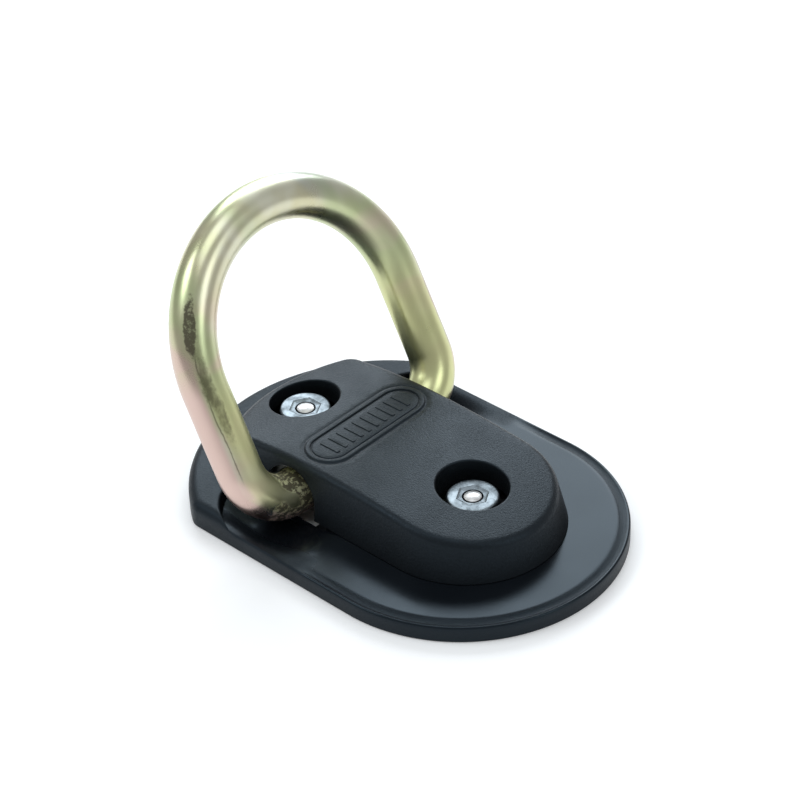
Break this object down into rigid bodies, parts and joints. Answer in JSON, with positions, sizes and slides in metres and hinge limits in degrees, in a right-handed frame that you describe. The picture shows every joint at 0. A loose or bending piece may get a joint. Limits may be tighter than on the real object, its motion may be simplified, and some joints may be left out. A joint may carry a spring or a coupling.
{
  "type": "folding shackle anchor",
  "caption": "Bolt-down anchor plate with a folding D-shaped shackle, a clamped steel strap, a moulded cover and tray, and socket-head anchor bolts in recesses.",
  "frame": {"origin": "on the mounting surface, under the middle of the tray", "axes": "+X along the tray towards the end that the shackle folds down on, +Y along the shackle's bar, +Z out of the mounting surface"},
  "size_m": [0.1606, 0.1124, 0.101],
  "materials": {
    "yellow_chromate": "zinc plate under yellow chromate, soft satin gloss, darker near the bends",
    "cover_plastic": "satin black with a fine moulded grain",
    "tray_plastic": "glossy black moulding",
    "zinc_plate": "bright zinc plate",
    "strap_steel": "dull zinc plate",
    "ball_steel": "polished bearing steel",
    "pad_rubber": "matte black rubber",
    "screw_steel": "zinc plate"
  },
  "bodies": {
    "base": {"top_cover": "cover_plastic", "base_tray": "tray_plastic", "steel_base_plate": "zinc_plate", "saddle_strap": "strap_steel", "anchor_bolt_left": "zinc_plate", "anchor_bolt_right": "zinc_plate", "security_ball_left": "ball_steel", "security_ball_right": "ball_steel", "cover_screw_tail_front": "screw_steel", "cover_screw_tail_rear": "screw_steel", "cover_screw_nose_front": "screw_steel", "cover_screw_nose_rear": "screw_steel", "strap_screw_tail_front": "screw_steel", "strap_screw_tail_rear": "screw_steel", "strap_screw_nose_front": "screw_steel", "strap_screw_nose_rear": "screw_steel", "friction_pad_front": "pad_rubber", "friction_pad_rear": "pad_rubber"},
    "shackle": {"shackle_ring": "yellow_chromate"}
  },
  "joints": [
    {"name": "shackle_fold", "type": "hinge", "parent": "base", "child": "shackle", "pos_m": [-0.0261, 0, 0.0107], "axis": [0, 1, 0], "range_deg": [-40, 104]}
  ]
}
